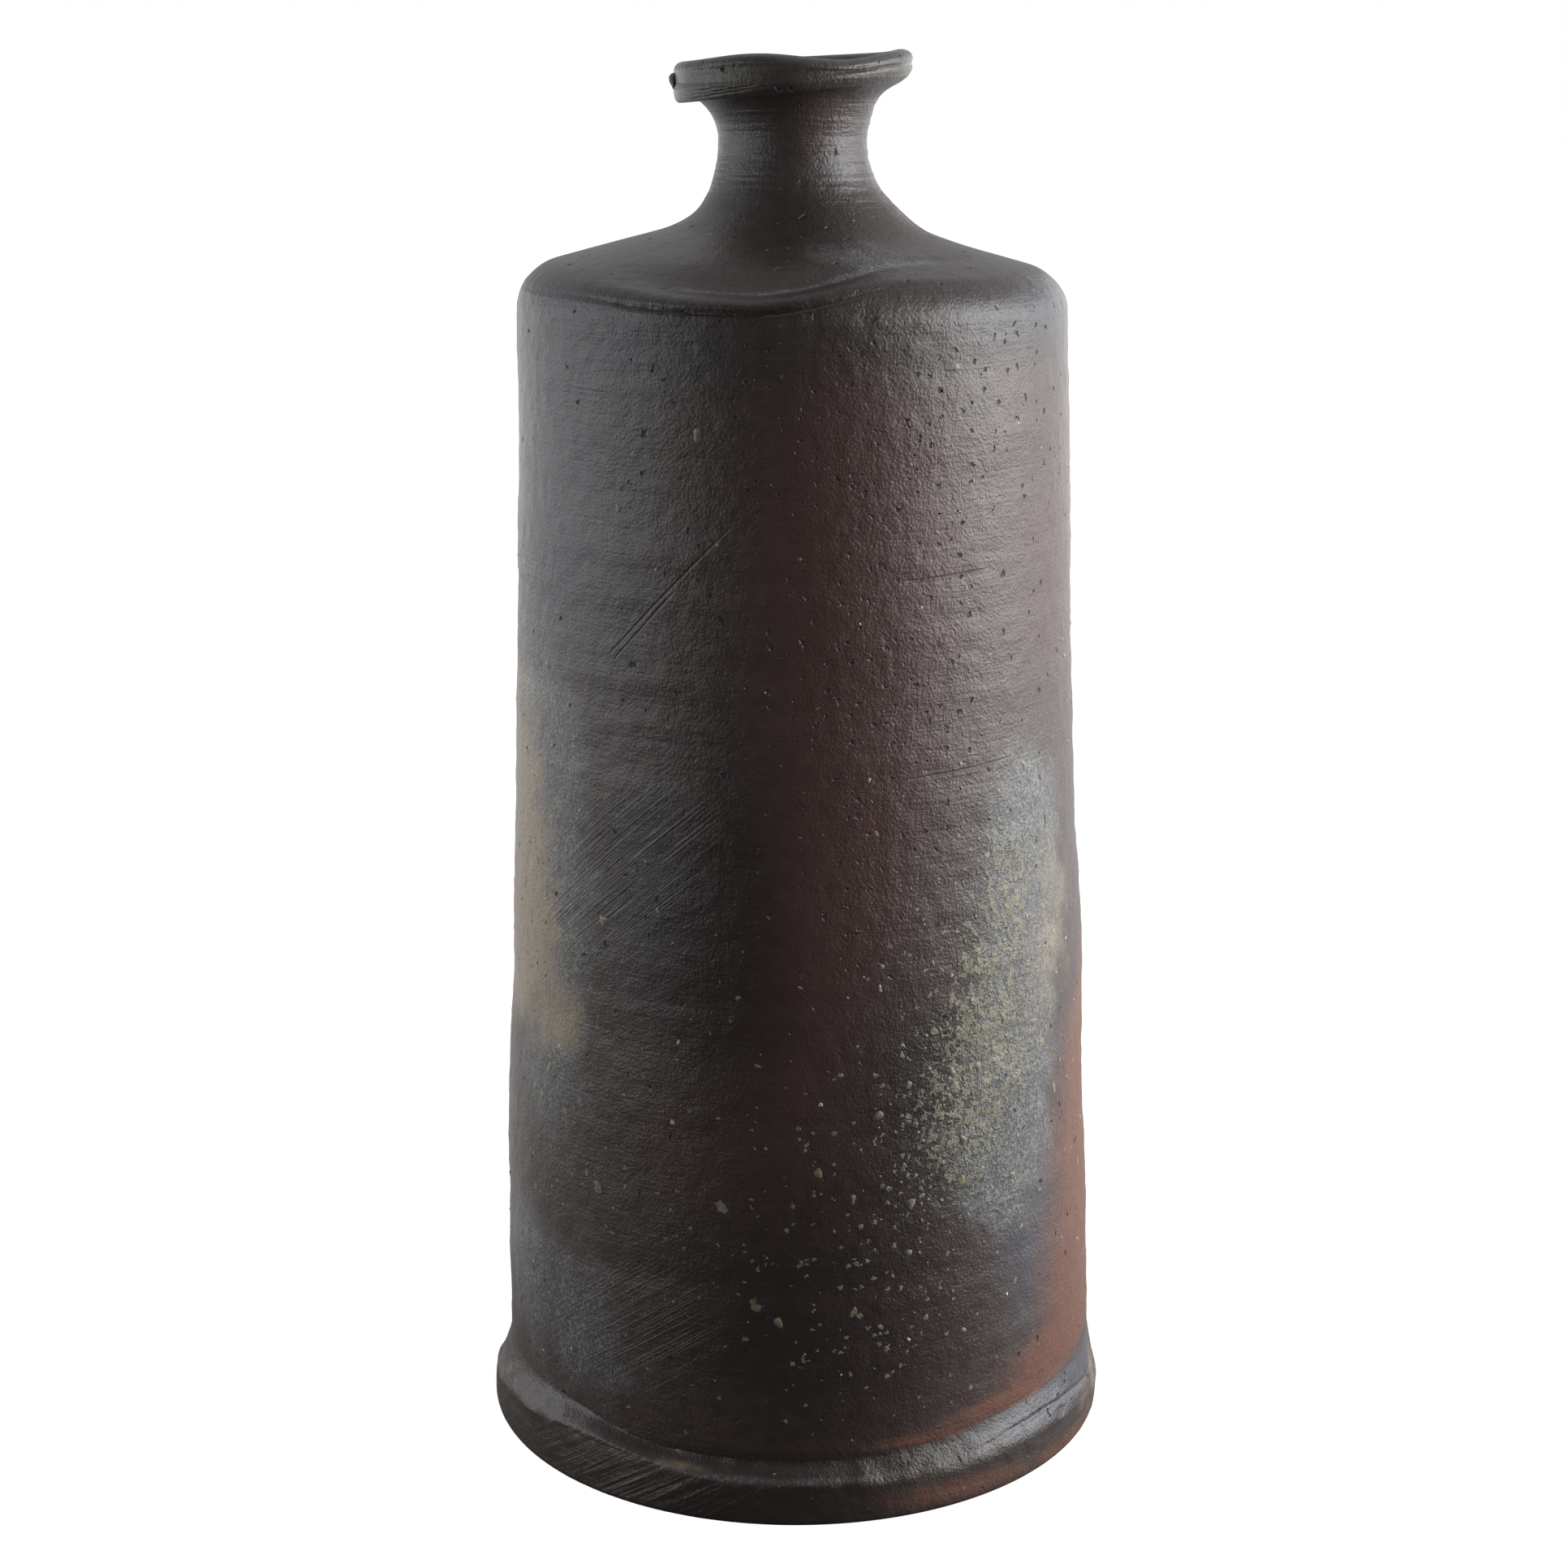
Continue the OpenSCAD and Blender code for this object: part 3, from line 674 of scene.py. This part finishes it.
# ---------------------------------------------------------------- melted ash drops and clay grit
# Drops of melted wood ash that stand proud of the wall, and grains of feldspar that the clay's grit left
# standing. Each is a low dome of a few dozen faces, and all of one kind are one piece.
def studs(name, seed, count, size, height, density):
    """Low domes on the wall. A dome's rings shrink as cos(t) and rise as sin(t), and its outline wanders.
    Places are drawn at random and kept where a random number is under density(turn, height)."""
    rng = np.random.default_rng(seed)
    tries = count * 60
    turn = rng.uniform(-math.pi, math.pi, tries)
    up = rng.uniform(18 * MM, 172 * MM, tries)
    kept = np.flatnonzero(rng.uniform(0, 1, tries) < density(turn, up))[:count]
    turn, up = turn[kept, None, None], up[kept, None, None]
    n, spokes, tiers, steep = len(kept), 10, 3, 1.25
    around = (np.arange(spokes) * 2 * math.pi / spokes)[None, None, :]
    tier = np.linspace(0, steep, tiers)[None, :, None]
    wide = size[0] + (size[1] - size[0]) * rng.power(0.4, (n, 1, 1))
    wander = 1 + 0.3 * np.sin(2 * around + rng.uniform(0, 6, (n, 1, 1))) * rng.uniform(0.2, 1, (n, 1, 1))
    wander = wander + 0.16 * np.sin(3 * around + rng.uniform(0, 6, (n, 1, 1)))
    span = wide / 2 * wander * np.cos(tier)
    across, rise_up = span * np.cos(around), span * np.sin(around) * rng.uniform(0.9, 1.5, (n, 1, 1))
    level = up + rise_up
    angle = turn + across / wall_radius(level)
    sunk = 0.12 * MM
    out = wall_radius(level) + relief(angle, level) - sunk
    out = out + (height * wide / size[1] + sunk) * np.sin(tier) / np.sin(steep)
    x, y = out * np.cos(angle), out * np.sin(angle)
    x, y, level = sway(x, y, level)
    total, last = spokes * tiers, spokes * (tiers - 1)
    rings = np.stack(np.broadcast_arrays(x, y, level), -1).reshape(n, total, 3)
    caps = np.stack([rings[:, last:].mean(1), rings[:, :spokes].mean(1)], 1)
    caps[:, 0, :2] *= 1 + 0.02 * MM / wall_foot_radius
    points = np.concatenate([rings, caps], 1)
    j = np.arange(spokes)
    k = (j + 1) % spokes
    sides = np.concatenate([np.stack([j + t, k + t, k + t + spokes, j + t + spokes], -1)
                            for t in range(0, last, spokes)])
    top, bottom = np.full(spokes, total), np.full(spokes, total + 1)
    fans = np.concatenate([np.stack([j + last, k + last, top], -1), np.stack([k, j, bottom], -1)])
    start = (np.arange(n) * (total + 2))[:, None, None]
    faces = (sides + start).reshape(-1, 4).tolist() + (fans + start).reshape(-1, 3).tolist()
    mesh = bpy.data.meshes.new(name)
    mesh.from_pydata(points.reshape(-1, 3).tolist(), [], faces)
    mesh.shade_smooth()
    piece = bpy.data.objects.new(name, mesh)
    bpy.context.scene.collection.objects.link(piece)
    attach(piece, "root")
    return piece


drops = studs("ash_drops", 71, 230, (0.5 * MM, 1.8 * MM), 0.10 * MM,
              lambda t, h: np.clip(firing(t, h)["spots"] * 0.8 + 0.02, 0, 1))
bench = Bench("melted_ash")
lumps = bench.cloud(1.2 * MM, 3)
colour = bench.blend(lumps.rise(0.35, 0.65), (0.085, 0.08, 0.05), (0.17, 0.16, 0.105))
bump = bench.bump(lumps, 0.12 * MM)
drops.data.materials.append(bench.finish(Base_Color=colour, Roughness=0.34 + lumps * 0.2, Normal=bump))

grains = studs("feldspar_grains", 72, 220, (0.3 * MM, 0.8 * MM), 0.16 * MM, lambda t, h: 0.5 + 0 * t)
bench = Bench("feldspar")
lumps = bench.cloud(0.6 * MM, 3)
colour = bench.blend(lumps.rise(0.3, 0.7), (0.16, 0.12, 0.10), (0.46, 0.42, 0.37))
grains.data.materials.append(bench.finish(Base_Color=colour, Roughness=0.4 + lumps * 0.25))

# ---------------------------------------------------------------- floor, lights and camera
# A plain floor, white to the camera, a tall soft window of light to the right of the front, and a weaker one
# at the left.
# The room behind is pale and the room in front is dim, so that the bottle's front stays dark, and the floor
# in front of the bottle is painted dark as well: painted shade that the bottle's lower front reflects.
floor_half = 8.0
mesh = bpy.data.meshes.new("floor")
corners = [(-floor_half, -floor_half, 0), (floor_half, -floor_half, 0), (floor_half, floor_half, 0),
           (-floor_half, floor_half, 0)]
mesh.from_pydata(corners, [], [(0, 1, 2, 3)])
floor = bpy.data.objects.new("floor", mesh)
bpy.context.scene.collection.objects.link(floor)
bench = Bench("pale_floor")
# Painted shade: to the bottle the floor is dark in front and pale behind, standing in for the dim room in
# front. The camera sees it near white.
behind = bench.node("ShaderNodeSeparateXYZ", {}, {0: bench.where()}, out=1).rise(-0.08, 0.1)
bench.finish(Base_Color=bench.blend(behind, (0.07,) * 3, (0.85,) * 3), Roughness=0.9, Specular_IOR_Level=0.1)
seen = bench.node("ShaderNodeLightPath")
glow = bench.node("ShaderNodeEmission", {}, {"Color": (1, 1, 1, 1), "Strength": 1.26})
both = bench.node("ShaderNodeMixShader", {}, {0: seen * 0.8, 2: glow})
bench.tree.links.new(bench.shader.outputs[0], both.socket.node.inputs[1])
bench.tree.links.new(both.socket, bench.tree.nodes["Material Output"].inputs[0])
floor.data.materials.append(bench.material)


def window(name, turn, distance, low, high, width, glare):
    """A soft upright rectangle of light round the bottle at a bearing in degrees. `glare` is its brightness
    on the scale where a white wall is 1."""
    lamp = bpy.data.lights.new(name, "AREA")
    lamp.shape, lamp.size, lamp.size_y = "RECTANGLE", width, high - low
    lamp.energy = glare * math.pi * width * (high - low)
    obj = bpy.data.objects.new(name, lamp)
    t = math.radians(turn)
    obj.location = (distance * math.cos(t), distance * math.sin(t), (low + high) / 2)
    obj.rotation_euler = (math.pi / 2, 0, t + math.pi / 2)
    bpy.context.scene.collection.objects.link(obj)
    return obj


window("right_window", -8, 0.62, 0.05, 0.64, 0.54, 9.2)
window("left_window", -166, 0.7, 0.03, 0.42, 0.9, 2.5)
window("right_rear_window", 50, 0.8, 0.0, 0.4, 0.7, 1.6)
window("left_rear_window", 130, 0.8, 0.0, 0.25, 0.7, 1.3)

world = bpy.data.worlds.new("room")
bpy.context.scene.world = world
bench = Bench("room", world, "Background")
depth = bench.node("ShaderNodeSeparateXYZ", {}, {0: bench.node("ShaderNodeTexCoord")}, out=1)
front, behind, dim, pale = -0.6, 0.4, 0.05, 0.7
room = bench.node("ShaderNodeMapRange", {"interpolation_type": "SMOOTHSTEP"},
                  {0: depth, 1: front, 2: behind, 3: dim, 4: pale})
seen = bench.node("ShaderNodeLightPath")
bench.finish(Color=(1, 1, 1), Strength=room.sum("MAXIMUM", room, seen))
bpy.context.scene.view_settings.view_transform = "Standard"

camera_data = bpy.data.cameras.new("camera")
camera_data.lens, camera_data.sensor_width, camera_data.shift_x = 63.54, 36, -0.0073
camera = bpy.data.objects.new("camera", camera_data)
camera.location = (0, -0.4243, 0.2115)
camera.rotation_euler = (math.radians(75.59), 0, 0)
bpy.context.scene.collection.objects.link(camera)
bpy.context.scene.camera = camera
